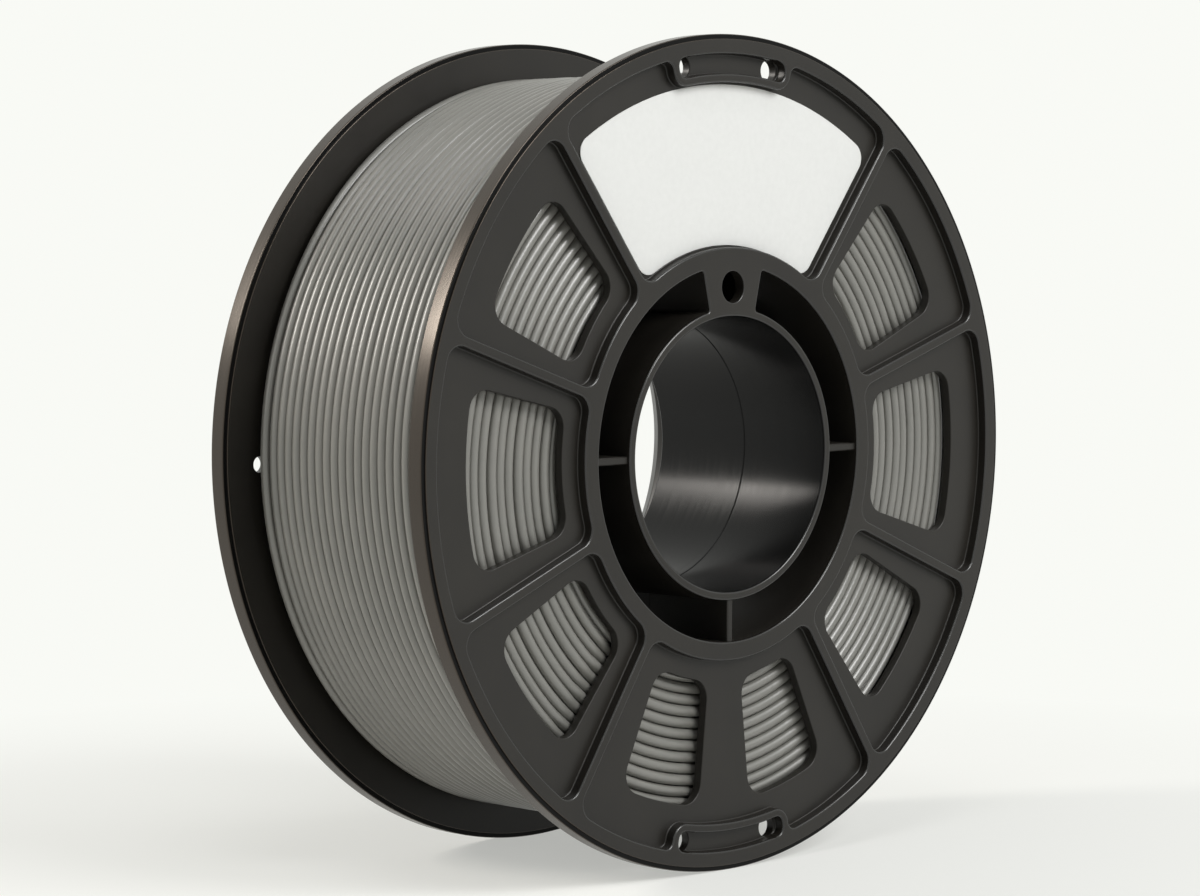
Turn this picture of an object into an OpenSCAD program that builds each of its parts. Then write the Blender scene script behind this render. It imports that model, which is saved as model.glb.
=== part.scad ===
// Filament spool: two moulded halves that snap together inside the drum, the wound
// filament between their flanges, and the label on the front flange.
// The spool's axis lies along Y, with the label's face towards -Y, and +Z is up.
// The origin is on the spool's axis, halfway between its faces. Sizes are in millimetres and degrees.
// Flange angles are counted anticlockwise from +X, as seen from the front.

/* [Spool] */
// Diameter of each flange
flange_d = 200; // [160:1:260]
// Width of the spool over its two rims
spool_w = 74; // [50:1:110]
// Thickness of a flange at its rim
rim_t = 5; // [4:0.1:8]
// Width of the raised rim
rim_w = 4.7; // [3:0.1:8]
// Rounding of the rim's outer edge
rim_round = 1; // [0.4:0.1:1.8]
// Width of the lead-in bevel inside the rim, along the radius
lead_in_w = 2; // [0.5:0.1:4]
// Depth of the lead-in bevel inside the rim, along the axis
lead_in_t = 0.6; // [0.2:0.1:1.5]

/* [Hub] */
// Diameter of the bore that turns on a holder
bore_d = 66; // [50:1:80]
// Wall of the bore tube
bore_wall = 2; // [1.2:0.1:4]
// Chamfer at each mouth of the bore
bore_chamfer = 0.5; // [0.2:0.1:1.1]
// Width of the open channel between the bore tube and the drum wall
channel_w = 10; // [8.2:0.1:14]
// Wall of the drum that carries the filament
drum_wall = 2.2; // [1.8:0.1:4]
// Width of the raised ring round the channel
hub_ring_w = 4.5; // [3:0.1:8]
// Thickness of the ribs across the channel
rib_t = 1.8; // [1:0.1:3]
// How far the ribs lie below the ends of the bore tube
rib_recess = 0.8; // [0:0.1:3]
// How far the rear end of the bore tube lies below the rear face
rear_recess = 18; // [0:0.5:20]
// Flat left between the bevel round the hub's rear mouth and the pockets
rear_mouth_land = 0.6; // [0.4:0.1:1.5]
// Half the angle of the drive pad at 12 o'clock
pad_half_angle = 13; // [9:0.5:20]
// Thickness of the drive pad
pad_t = 3; // [2:0.1:6]
// Diameter of the drive hole in the pad
drive_hole_d = 7.6; // [4:0.1:8]

/* [Pockets] */
// Depth of the pockets between the spokes
pocket_depth = 2.6; // [1:0.1:3.4]
// Corner radius of the pockets
pocket_corner = 4; // [2:0.1:6]
// Width of the spokes
spoke_w = 2.5; // [1.5:0.1:5]
// Angles of the spokes on the right, which repeat on the left
spoke_angles = [53, 18.4, -22.3, -56.5]; // [-75:0.1:75]

/* [Windows] */
// Least distance from a front window to the rim
front_window_margin = 11; // [6:0.1:12]
// Least distance from a rear window to the rim, which leaves room for the parking hole
rear_window_margin = 12.5; // [9:0.1:14]
// Distance from a window to the hub ring
window_hub_margin = 5; // [2:0.1:8]
// Angle between a side window and the spokes beside it
window_side_angle = 5.6; // [4:0.1:8]
// Corner radius of the windows
window_corner = 5; // [2:0.1:5]
// Angle of the two bottom windows from 6 o'clock
bottom_window_angle = 15.3; // [13:0.1:20]
// Half the angle of a bottom window
bottom_window_half = 9.3; // [7:0.1:11]

/* [Rim slots and holes] */
// Width of the curved slots at 12 and 6 o'clock
slot_w = 4.7; // [3:0.1:6]
// Half the angle of a slot
slot_half_angle = 11.3; // [8:0.1:14]
// Corner radius of a slot
slot_corner = 2; // [1:0.1:2.3]
// Diameter of the tie holes at a slot's ends
tie_hole_d = 5.2; // [3:0.1:6]
// Angle of the tie holes from the middle of the slot
tie_hole_angle = 9.3; // [6:0.1:10]
// Width of the border round a slot
slot_border_w = 2; // [1:0.1:3]
// Diameter of the parking hole for the strand's end, in the rear flange
parking_hole_d = 3.8; // [3:0.1:5]
// Distance from the parking hole's centre to the rim
parking_hole_inset = 6.3; // [4:0.1:9]
// Angle of the parking hole from the rear flange's 3 o'clock
parking_hole_angle = -1; // [-10:0.5:10]

/* [Snap joint] */
// Distance from the front face to the seam between the halves
seam_depth = 27; // [27:1:30]
// Gap between the two halves where they meet
seam_gap = 0.1; // [0.05:0.05:0.3]
// Wall of the spigot that centres one half in the other
spigot_wall = 0.95; // [0.6:0.05:1.1]
// Length of the spigot
spigot_l = 2.5; // [1.5:0.1:4]
// Running clearance between the spigot, the hooks and their seats
fit_gap = 0.15; // [0.1:0.05:0.3]
// Thickness of a hook's arm
hook_t = 1.8; // [1.2:0.1:2.4]
// Width of a hook
hook_w = 8; // [5:0.5:10]
// How far a hook reaches past the seam
hook_reach = 10; // [8:0.5:14]
// How far a hook's barb stands out
barb_h = 1.9; // [1:0.1:2]
// Length of a hook's barb along the axis
barb_l = 3; // [2:0.1:4]

/* [Filament] */
// Diameter of the strand as wound in the outer layer
strand_d = 2.6; // [1.75:0.05:2.65]
// Distance from turn to turn
strand_pitch = 2.75; // [2.7:0.05:3.2]
// Distance from the outer layer to the flange's edge
fill_inset = 8.8; // [6:0.1:20]
// Least gap from the filament to a flange
winding_gap = 0.4; // [0.3:0.1:1]
// Diameter of the hole where the strand is anchored in the drum
anchor_hole_d = 4.5; // [3.5:0.1:6]
// Distance from the front flange to the anchor hole
anchor_depth = 12; // [10:0.5:14]
// How far the anchored end reaches into the channel
anchor_reach = 4; // [2:0.5:6]

/* [Label] */
// Thickness of the label
label_t = 0.2; // [0.1:0.05:0.5]
// Distance from the label to the spokes beside it
label_side_margin = 1.9; // [0.5:0.1:4]
// Distance from the label to the hub ring and to the slot's border
label_end_margin = 0.45; // [0.2:0.05:2]

/* [Hidden] */
$fn = 120;

// Largest distance between a curve and the straight steps that stand for it
curve_tolerance = 0.02;
// How far joined shapes run into each other, and cuts run past a face
weld = 0.5;
// Gap from one soft or glued piece to what carries it
soft_gap = 0.3;
glue_t = 0.05;

flange_r = flange_d / 2;
front_z = spool_w / 2;
inner_z = front_z - rim_t;
seam_z = front_z - seam_depth;
floor_z = front_z - pocket_depth;

bore_r = bore_d / 2;
tube_r = bore_r + bore_wall;
channel_r = tube_r + channel_w;
drum_r = channel_r + drum_wall;
hub_ring_r = channel_r + hub_ring_w;
pad_r = (tube_r + channel_r) / 2;
rib_angles = [0, 180, 270];
pad_angle = 90;

rim_r = flange_r - rim_w;
slot_angles = [90, -90];
slot_in_r = rim_r - slot_w;
slot_border_r = slot_in_r - slot_border_w;
slot_border_half = slot_half_angle + asin(slot_border_w / slot_in_r);
// Radii where a slot's border leaves the rim and where it turns along the slot
border_foot = 2.2;
border_corner = 4.2;

// Every pocket and window as its middle angle and half its angle
last_spoke = len(spoke_angles) - 1;
label_pocket = [90, 90 - spoke_angles[0]];
bottom_pocket = [-90, 90 + spoke_angles[last_spoke]];
side_pockets = [for (i = [1:last_spoke], side = [0, 1])
    let (middle = (spoke_angles[i - 1] + spoke_angles[i]) / 2)
    [side == 0 ? middle : 180 - middle, (spoke_angles[i - 1] - spoke_angles[i]) / 2]];

window_in_r = hub_ring_r + window_hub_margin;
side_windows = [for (p = side_pockets) [p[0], p[1] - window_side_angle]];
bottom_windows = [for (side = [-1, 1]) [-90 + side * bottom_window_angle, bottom_window_half]];

hook_angles = [45, 135, 225, 315];
hook_gap = 2 * fit_gap;
hook_out_r = channel_r - hook_gap;
hook_in_r = hook_out_r - hook_t;
hook_root_z = 3;
hook_root_l = 4;
barb_land = 0.8;

rings_per_turn = 24;
ring_sides = 6;
winding_r = flange_r - fill_inset - strand_d / 2;
strand_half_w = strand_d / 2 * cos(180 / ring_sides);
turns = floor(2 * (inner_z - winding_gap - strand_half_w) / strand_pitch);
winding_half_w = turns * strand_pitch / 2;
free_end_angle = -20;
core_in_r = drum_r + soft_gap;
core_out_r = (winding_r - strand_d / 2) * cos(180 / rings_per_turn) - soft_gap;
anchor_angle = 236;
anchor_z = inner_z - anchor_depth;

function polar(radius, angle) = radius * [cos(angle), sin(angle)];

// Points along an arc, close enough together to keep to the curve's tolerance
function arc(centre, radius, from, to) =
    let (step = 2 * acos(1 - curve_tolerance / radius), n = max(2, ceil(abs(to - from) / step)))
    [for (i = [0:n]) centre + polar(radius, from + (to - from) * i / n)];

// One closed outline from a list of arcs, without the points that two arcs share
function joined(arcs) =
    let (points = [for (a = arcs) each a], n = len(points))
    [for (i = [0:n - 1]) if (norm(points[i] - points[(i + 1) % n]) > curve_tolerance / 10) points[i]];

// Where a corner's centre lies, as an angle from the sector's middle
function corner_angle(half, reach, radius) = half - asin(reach / radius);

// The outer end of a sector, with its two corners
function outer_end(r_out, half, corner, inset, middle_arcs) =
    let (a = corner_angle(half, corner + inset, r_out - corner))
    [arc(polar(r_out - corner, -a), corner, -half - 90, -a),
     each middle_arcs(a),
     arc(polar(r_out - corner, a), corner, a, half + 90)];

// The inner end of a sector, with its two corners
function inner_end(r_in, half, corner, inset) =
    let (a = corner_angle(half, corner + inset, r_in + corner))
    [arc(polar(r_in + corner, a), corner, half + 90, a + 180),
     arc([0, 0], r_in, a, -a),
     arc(polar(r_in + corner, -a), corner, 180 - a, 270 - half)];

// A sector of a ring with rounded corners, about angle 0. Its sides run parallel to
// the rays at the half angle, inset from them.
function sector(r_in, r_out, half, corner, inset = 0) =
    joined([each outer_end(r_out, half, corner, inset, function (a) [arc([0, 0], r_out, -a, a)]),
            each inner_end(r_in, half, corner, inset)]);

// A pocket's sector whose outer end steps round the border of a slot
function slotted_sector(r_in, r_out, half, corner, inset) =
    let (
        foot = corner_angle(slot_border_half, -border_foot, r_out - border_foot),
        shoulder = corner_angle(slot_border_half, border_corner, slot_border_r + border_corner),
        foot_r = r_out - border_foot,
        shoulder_r = slot_border_r + border_corner,
        side = slot_border_half)
    joined([
        each outer_end(r_out, half, corner, inset, function (a) [
            arc([0, 0], r_out, -a, -foot),
            arc(polar(foot_r, -foot), border_foot, -foot, 90 - side),
            arc(polar(shoulder_r, -shoulder), border_corner, -side - 90, -shoulder - 180),
            arc([0, 0], slot_border_r, -shoulder, shoulder),
            arc(polar(shoulder_r, shoulder), border_corner, shoulder + 180, side + 90),
            arc(polar(foot_r, foot), border_foot, side - 90, foot),
            arc([0, 0], r_out, foot, a)]),
        each inner_end(r_in, half, corner, inset)]);

// Stands a half's own frame, whose axis is Z, in the spool's frame
module facing_front() {
    rotate([90, 0, 0]) children();
}

module facing_rear() {
    rotate([90, 0, 180]) children();
}

module ring(r_in, r_out, z_from, z_to) {
    translate([0, 0, z_from])
        difference() {
            cylinder(r = r_out, h = z_to - z_from);
            translate([0, 0, -weld]) cylinder(r = r_in, h = z_to - z_from + 2 * weld);
        }
}

// The drum wall and the flange as one turned shape, with the flange's rounded edge and
// lead-in bevel. A spigot of any length stands out past the seam, and a mouth is the
// outline's points round the hub's opening.
module drum_and_flange(seam, spigot, mouth) {
    start = seam + seam_gap / 2;
    tip = seam - spigot;
    spigot_r = channel_r + spigot_wall;
    seam_end = spigot > 0
        ? [[channel_r, tip], [spigot_r, tip], [spigot_r, start]]
        : [[channel_r, start]];
    flange_edge = [
        [drum_r, start], [drum_r, inner_z],
        [flange_r - lead_in_w, inner_z], [flange_r, inner_z + lead_in_t]];
    rounding = arc([flange_r - rim_round, front_z - rim_round], rim_round, 0, 90);
    rotate_extrude() polygon(concat(seam_end, flange_edge, rounding, mouth));
}

// A rib across the channel, from the bore tube to the drum wall
module channel_rib(angle, from, tube_end, side_shift = 0) {
    rotate([0, 0, angle])
        translate([tube_r - weld, side_shift - rib_t / 2, from])
            cube([channel_w + 2 * weld, rib_t, tube_end - rib_recess - from]);
}

// The pad at 12 o'clock with the two ribs below its sides
module drive_pad(from, tube_end) {
    side_inset = weld + rib_t / 2;
    outer_reach = (channel_r + weld) / cos(pad_half_angle);
    translate([0, 0, tube_end - pad_t])
        rotate([0, 0, pad_angle])
            linear_extrude(pad_t)
                polygon([
                    polar(tube_r - weld, -pad_half_angle), polar(outer_reach, -pad_half_angle),
                    polar(outer_reach, pad_half_angle), polar(tube_r - weld, pad_half_angle)]);
    channel_rib(pad_angle - pad_half_angle, from, tube_end, side_inset);
    channel_rib(pad_angle + pad_half_angle, from, tube_end, -side_inset);
}

// One half from its seam outwards, with its bore tube, ribs and drive pad
module half_body(seam, tube_end, mouth, spigot = 0) {
    start = seam + seam_gap / 2;
    drum_and_flange(seam, spigot, mouth);
    ring(bore_r, tube_r, start, tube_end);
    for (angle = rib_angles) channel_rib(angle, start, tube_end);
    drive_pad(start, tube_end);
}

// Cuts an outline into the front face, down to a depth
module sink(middle, outline, depth) {
    translate([0, 0, front_z - depth])
        rotate([0, 0, middle]) linear_extrude(depth + weld) polygon(outline);
}

module plain_pocket(p) {
    sink(p[0], sector(hub_ring_r, rim_r, p[1], pocket_corner, spoke_w / 2), pocket_depth);
}

module slotted_pocket(p) {
    sink(p[0], slotted_sector(hub_ring_r, rim_r, p[1], pocket_corner, spoke_w / 2), pocket_depth);
}

module window(w, margin) {
    sink(w[0], sector(window_in_r, rim_r - margin, w[1], window_corner), rim_t + weld);
}

// The curved slot at 12 or 6 o'clock, with a tie hole at each end
module rim_slot(angle) {
    sink(angle, sector(slot_in_r, rim_r, slot_half_angle, slot_corner), pocket_depth);
    for (side = [-1, 1])
        rotate([0, 0, angle + side * tie_hole_angle])
            translate([rim_r - slot_w / 2, 0, inner_z - weld])
                cylinder(d = tie_hole_d, h = rim_t + 2 * weld);
}

// What both halves have cut out of them
module common_cuts(window_margin, tube_end) {
    for (p = side_pockets) plain_pocket(p);
    for (w = concat(side_windows, bottom_windows)) window(w, window_margin);
    rotate([0, 0, pad_angle])
        translate([pad_r, 0, tube_end - pad_t - weld])
            cylinder(d = drive_hole_d, h = pad_t + 2 * weld);
    translate([0, 0, tube_end - bore_chamfer])
        cylinder(r1 = bore_r, r2 = bore_r + bore_chamfer + weld, h = bore_chamfer + weld);
}

// A hook that grips the rear drum wall from inside, with the seam at Z = 0
module snap_hook(angle) {
    tip_z = -hook_reach;
    rotate([0, 0, angle]) {
        translate([hook_in_r, -hook_w / 2, tip_z])
            cube([hook_t, hook_w, hook_reach + hook_root_z + hook_root_l]);
        translate([hook_in_r, -hook_w / 2, hook_root_z])
            cube([hook_t + hook_gap + weld, hook_w, hook_root_l]);
        translate([0, hook_w / 2, 0])
            rotate([90, 0, 0])
                linear_extrude(hook_w)
                    polygon([
                        [hook_out_r - weld, tip_z + barb_l],
                        [hook_out_r + barb_h, tip_z + barb_l],
                        [hook_out_r + barb_h, tip_z + barb_l - barb_land],
                        [hook_out_r, tip_z],
                        [hook_out_r - weld, tip_z]]);
    }
}

// The window in the rear drum wall that a hook's barb catches in, with the seam at Z = 0
module hook_catch(angle) {
    catch_z = hook_reach - barb_l - fit_gap;
    catch_w = hook_w + 4 * hook_gap;
    rotate([0, 0, angle])
        translate([channel_r - weld, -catch_w / 2, catch_z])
            cube([drum_wall + 2 * weld, catch_w, barb_l + fit_gap + hook_gap]);
}

module anchor_hole() {
    rotate([0, 0, anchor_angle])
        translate([channel_r - weld, 0, anchor_z])
            rotate([0, 90, 0]) cylinder(d = anchor_hole_d, h = drum_wall + 2 * weld);
}

module front_half() {
    color([0.16, 0.155, 0.15])
        facing_front() {
            difference() {
                half_body(seam_z, front_z, [[channel_r, front_z]], spigot_l);
                common_cuts(front_window_margin, front_z);
                slotted_pocket(label_pocket);
                slotted_pocket(bottom_pocket);
                for (angle = slot_angles) rim_slot(angle);
                anchor_hole();
            }
            translate([0, 0, seam_z])
                for (angle = hook_angles) snap_hook(angle);
        }
}

module rear_half() {
    socket_r = channel_r + spigot_wall + fit_gap;
    tube_end = front_z - rear_recess;
    mouth = [[hub_ring_r - rear_mouth_land, front_z], [channel_r, inner_z]];
    color([0.14, 0.135, 0.13])
        facing_rear()
            difference() {
                half_body(-seam_z, tube_end, mouth);
                common_cuts(rear_window_margin, tube_end);
                plain_pocket(label_pocket);
                plain_pocket(bottom_pocket);
                rotate([0, 0, parking_hole_angle])
                    translate([rim_r - parking_hole_inset, 0, inner_z - weld])
                        cylinder(d = parking_hole_d, h = rim_t + 2 * weld);
                translate([0, 0, -seam_z]) {
                    ring(channel_r - fit_gap, socket_r, -weld, spigot_l + 2 * fit_gap);
                    for (angle = hook_angles) hook_catch(angle);
                }
            }
}

// The inner layers as one plain body, with the strand's first end through the drum wall
module filament_core() {
    core_z = inner_z - winding_gap;
    color([0.5, 0.5, 0.5])
        facing_front() {
            ring(core_in_r, core_out_r, -core_z, core_z);
            rotate([0, 0, anchor_angle])
                translate([channel_r - anchor_reach, 0, anchor_z])
                    rotate([0, 90, 0])
                        cylinder(d = strand_d, h = anchor_reach + drum_wall + soft_gap + weld);
        }
}

// The strand's cross-section at one point, across its direction of travel
function strand_ring(centre, outward, along) =
    [for (k = [0:ring_sides - 1])
        centre + strand_d / 2 * (cos(360 * k / ring_sides) * outward + sin(360 * k / ring_sides) * along)];

function winding_ring(i, shift = 0) =
    let (
        angle = free_end_angle + 360 * i / rings_per_turn,
        outward = [cos(angle), sin(angle), 0],
        travel = [-sin(angle), cos(angle), 0],
        height = strand_pitch * i / rings_per_turn - winding_half_w)
    strand_ring(winding_r * outward + shift * travel + [0, 0, height], outward, [0, 0, 1]);

// The outer layer as one strand, whose two ends run straight for one diameter
module filament_outer_layer() {
    last = turns * rings_per_turn;
    rings = [winding_ring(0, -strand_d), for (i = [0:last]) winding_ring(i), winding_ring(last, strand_d)];
    points = [for (r = rings) each r];
    sides = [for (i = [0:len(rings) - 2], k = [0:ring_sides - 1], upper = [0, 1])
        let (a = i * ring_sides + k, b = i * ring_sides + (k + 1) % ring_sides)
        upper == 0 ? [a, b, b + ring_sides] : [a, b + ring_sides, a + ring_sides]];
    end = len(points) - ring_sides;
    caps = [for (k = [1:ring_sides - 2], far = [0, 1])
        far == 0 ? [0, k + 1, k] : [end, end + k, end + k + 1]];
    gaps = [for (i = [1:last - rings_per_turn + 1], near = rings[i], next = [-1:1])
        for (far = rings[min(i + rings_per_turn + next, len(rings) - 1)]) norm(near - far)];
    echo(turns = turns, least_gap_between_turns = min(gaps));
    color([0.55, 0.55, 0.55])
        facing_front() polyhedron(points = points, faces = concat(sides, caps));
}

module label() {
    outline = sector(
        hub_ring_r + label_end_margin, slot_border_r - label_end_margin,
        label_pocket[1], pocket_corner, spoke_w / 2 + label_side_margin);
    color([0.93, 0.93, 0.93])
        facing_front()
            translate([0, 0, floor_z + glue_t])
                rotate([0, 0, label_pocket[0]]) linear_extrude(label_t) polygon(outline);
}

front_half();
rear_half();
filament_core();
filament_outer_layer();
label();
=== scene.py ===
"""The filament spool's looks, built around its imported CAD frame. Blender 4.5, metres.

The two mouldings, the wound strand and the label are rebuilt here with rounded edges and
a full winding, at the sizes of the CAD nodes that they stand for. Shapes are worked out
in millimetres in a half's own frame: x to the right and y up as seen from outside, w
outwards along the spool's axis, with w = 0 at mid-width.
"""
import math

import bmesh
import bpy
import numpy as np
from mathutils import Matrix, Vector
from mathutils.geometry import delaunay_2d_cdt


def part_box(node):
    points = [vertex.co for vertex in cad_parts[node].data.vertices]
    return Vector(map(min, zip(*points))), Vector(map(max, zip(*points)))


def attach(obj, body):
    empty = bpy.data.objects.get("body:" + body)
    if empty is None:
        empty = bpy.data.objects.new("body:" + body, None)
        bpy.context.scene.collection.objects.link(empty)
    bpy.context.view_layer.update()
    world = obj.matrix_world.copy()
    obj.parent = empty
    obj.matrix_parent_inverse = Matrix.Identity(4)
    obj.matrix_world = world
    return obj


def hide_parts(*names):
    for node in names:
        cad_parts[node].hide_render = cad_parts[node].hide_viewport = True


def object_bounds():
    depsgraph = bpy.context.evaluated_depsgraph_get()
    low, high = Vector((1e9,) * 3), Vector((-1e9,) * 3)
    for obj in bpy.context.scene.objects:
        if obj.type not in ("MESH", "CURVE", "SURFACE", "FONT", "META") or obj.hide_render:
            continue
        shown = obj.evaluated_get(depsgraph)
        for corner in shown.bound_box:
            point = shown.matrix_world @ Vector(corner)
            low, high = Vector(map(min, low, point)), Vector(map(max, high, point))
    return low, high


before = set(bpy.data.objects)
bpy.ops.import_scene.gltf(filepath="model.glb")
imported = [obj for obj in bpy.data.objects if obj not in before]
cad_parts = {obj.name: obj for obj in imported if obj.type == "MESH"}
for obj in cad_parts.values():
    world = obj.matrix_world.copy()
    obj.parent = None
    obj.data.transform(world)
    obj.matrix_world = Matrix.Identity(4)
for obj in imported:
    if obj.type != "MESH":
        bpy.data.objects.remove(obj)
cad_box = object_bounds()

MM = 0.001

# ---------------------------------------------------------------- sizes, in millimetres and degrees

front_low, front_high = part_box("front_half")
FLANGE_R = (front_high[0] - front_low[0]) / 2 / MM
FRONT_W = -front_low[1] / MM
RIM_T, RIM_W, RIM_ROUND = 5.0, 4.7, 0.3
RIM_STEP_W, RIM_STEP_T, STEP_ROUND, STEP_BREAK = 1.15, 0.4, 0.15, 0.05
INNER_W = FRONT_W - RIM_T
POCKET_DEPTH = 2.6
FLOOR_W = FRONT_W - POCKET_DEPTH
SEAM_DEPTH, SEAM_GAP = 27.0, 0.1

# The rear half's tube ends below its face, and a bevelled mouth leads down to it. Steps of
# (offset, w) round the bevel's lip, counted from its end on the outer face, and round its
# root, counted from the channel's wall at the inner face. Below the mouth, the channel is
# narrower by a step
REAR_RECESS, REAR_MOUTH_LAND = 18.0, 0.8
MOUTH_LIP = ((0.2, 0.0), (0.03, -0.06), (-0.1, -0.2))
MOUTH_ROOT = ((0.15, 0.2), (0.02, -0.05), (0.0, -0.3))
MOUTH_STEP, MOUTH_STEP_ROUND = 0.1, 0.08

BORE_R, TUBE_R, CHANNEL_R, DRUM_R, HUB_RING_R = 33.0, 35.0, 45.0, 47.2, 49.5
RIM_R = FLANGE_R - RIM_W
CHANNEL_CORNER, CELL_CORNER, DRUM_FOOT_ROUND, SEAM_BREAK = 0.8, 0.3, 0.5, 0.2
RIB_T, RIB_RECESS, RIB_ANGLES, RIB_BITE, RIB_BEVEL = 1.8, 0.8, (0, 180, 270), 0.3, 0.25
PAD_HALF_ANGLE, PAD_T, DRIVE_HOLE_R, DRIVE_HOLE_AT = 13.0, 3.0, 3.8, 40.0

SPOKE_W, POCKET_CORNER = 2.5, 4.0
SPOKE_ANGLES = (53.0, 18.4, -22.3, -56.5)
WINDOW_IN_R, WINDOW_CORNER, WINDOW_SIDE_ANGLE = 54.5, 5.0, 5.6
FRONT_WINDOW_MARGIN, REAR_WINDOW_MARGIN = 11.0, 12.5
BOTTOM_WINDOW_ANGLE, BOTTOM_WINDOW_HALF = 15.3, 9.3

SLOT_ANGLES = (90.0, -90.0)
SLOT_W, SLOT_HALF_ANGLE, SLOT_CORNER, SLOT_BORDER_W = 4.7, 11.3, 2.0, 2.0
TIE_HOLE_R, TIE_HOLE_ANGLE = 2.6, 9.3
BORDER_FOOT, BORDER_SHOULDER = 2.2, 4.2
# Steps of (offset, w) down a tie hole, from the slot's floor and from the inner face
CUTTER_REACH = 1.0
TIE_HOLE_TOP = ((0.0, 0.02), (0.2, 0.0), (0.05, -0.15), (0.0, -0.25))
TIE_HOLE_FOOT = ((0.0, 0.25), (0.05, 0.15), (0.25, -0.05), (0.25, -CUTTER_REACH))
PARKING_HOLE_R, PARKING_HOLE_AT, PARKING_HOLE_ANGLE = 1.9, RIM_R - 6.3, -1.0

EDGE_ROUND, FOOT_ROUND, HOLE_ROUND, MOUTH_ROUND = 0.45, 0.3, 0.25, 0.5

# A hook's arm, root and barb: inner and outer radius, set-back of the sides, w from the seam
HOOK_ANGLES, HOOK_W, HOOK_BEVEL = (45, 135, 225, 315), 8.0, 0.2
HOOK_BLOCKS = (
    (42.9, 44.7, 0.0, -10.0, 7.0),
    (43.0, 45.3, 0.1, 3.0, 6.9),
    (43.5, 46.6, 0.1, -9.0, -7.0))

STRAND_R, STRAND_PITCH, TURNS = 1.30, 2.75, 22
OUTER_LAYER_R, FREE_END_ANGLE = 89.9, -20.0
LAYER_PITCH, SIDE_TURNS, SIDE_W, SIDE_START_ANGLE = 2.75, 14, 29.7, 230.0
STEPS_PER_TURN, STRAND_SIDES = 150, 18
# The gap after the rear-most turn, and the climb to the next layer, opened over part of a turn
FIRST_TURN_GAP, GAP_FROM, GAP_OVER = 0.7, 0.9, 0.2
CLIMB_FROM, CLIMB_OVER = 0.72, 0.2
# How far a turn strays from its place, and by how many radians its wave shifts in a turn
SWAY, SWAY_SHIFT, SWAY_START, SWAY_SEED = 0.10, 1.7, 0.4, 3
LIFT, LIFT_SHIFT, LIFT_SEED = 0.06, 2.3, 8
SIDE_SWAY, SIDE_SHIFT, SIDE_SHIFT_WITHIN = 0.28, 2.1, 0.8
FRONT_SIDE_SEED, REAR_SIDE_SEED = 21, 34
# The sines in a slow wave, and how far their weights and phases are drawn from
WAVES, WEIGHT_SPAN, PHASE_SPAN = 5, 6.0, 6.3

# The ribbed drum behind the side turns, its rows of ridges and the room it leaves
CORE_ROWS, RIDGE_H, RIDGE_STEP = 21, 0.5, 45.0
CORE_CLEARANCE, CORE_INSET = 0.35, 0.55 * STRAND_PITCH

# The anchored end: how far it reaches into the channel and bites into the winding
ANCHOR_ANGLE, ANCHOR_W, ANCHOR_REACH, ANCHOR_BITE, ANCHOR_SIDES = 236.0, 20.0, 4.0, 0.8, 16
CUT_END_L, CUT_END_SCALE = 0.2, 0.8

LABEL_T, GLUE_T, LABEL_ROUND = 0.2, 0.05, 0.06
LABEL_END_MARGIN, LABEL_SIDE_MARGIN = 0.45, 1.9

# How finely arcs are drawn and plates filled; the distance for welding points is in metres
ARC_TOLERANCE, PLATE_TOLERANCE = 0.004, 1e-9
WELD = 0.0005 * MM
SHARP_ANGLE, STRAND_SHARP_ANGLE = 40.0, 60.0


# ---------------------------------------------------------------- outlines

def polar(radius, angle):
    """The point at a radius and an angle in degrees, or an array of them."""
    a = np.radians(angle)
    return np.stack([radius * np.cos(a), radius * np.sin(a)], -1)


def arc(centre, radius, start, end, side=1):
    """Points with their outward normals along an arc: rows of x, y, nx, ny."""
    step = 2 * math.degrees(math.acos(1 - ARC_TOLERANCE / radius))
    count = max(2, math.ceil(abs(end - start) / step))
    angles = np.linspace(start, end, count + 1)
    directions = polar(1.0, angles)
    return np.hstack([np.asarray(centre) + radius * directions, side * directions])


def joined(arcs):
    """One closed outline of several arcs, without the points that two arcs share."""
    points = np.vstack(arcs)
    gap = np.linalg.norm(points[:, :2] - np.roll(points[:, :2], -1, axis=0), axis=1)
    return points[gap > ARC_TOLERANCE / 4]


def circle(centre, radius):
    """A full circle as an outline."""
    return joined([arc(centre, radius, 0, 360)])


def turned(outline, angle):
    """The outline turned about the spool's axis."""
    a = math.radians(angle)
    matrix = np.array([[math.cos(a), math.sin(a)], [-math.sin(a), math.cos(a)]])
    return np.hstack([outline[:, :2] @ matrix, outline[:, 2:] @ matrix])


def corner_angle(half, reach, radius):
    """The angle of a corner's centre at a radius, a reach inside a side at the half angle."""
    return half - math.degrees(math.asin(reach / radius))


def slot_steps(r_out, a):
    """The outer edge of a pocket from -a to a, stepping round the border of a rim slot."""
    border_r = RIM_R - SLOT_W - SLOT_BORDER_W
    side = SLOT_HALF_ANGLE + math.degrees(math.asin(SLOT_BORDER_W / (RIM_R - SLOT_W)))
    foot_r, shoulder_r = r_out - BORDER_FOOT, border_r + BORDER_SHOULDER
    foot = corner_angle(side, -BORDER_FOOT, foot_r)
    shoulder = corner_angle(side, BORDER_SHOULDER, shoulder_r)
    return [
        arc((0, 0), r_out, -a, -foot),
        arc(polar(foot_r, -foot), BORDER_FOOT, -foot, 90 - side),
        arc(polar(shoulder_r, -shoulder), BORDER_SHOULDER, -side - 90, -shoulder - 180, side=-1),
        arc((0, 0), border_r, -shoulder, shoulder),
        arc(polar(shoulder_r, shoulder), BORDER_SHOULDER, shoulder + 180, side + 90, side=-1),
        arc(polar(foot_r, foot), BORDER_FOOT, side - 90, foot),
        arc((0, 0), r_out, foot, a)]


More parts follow.
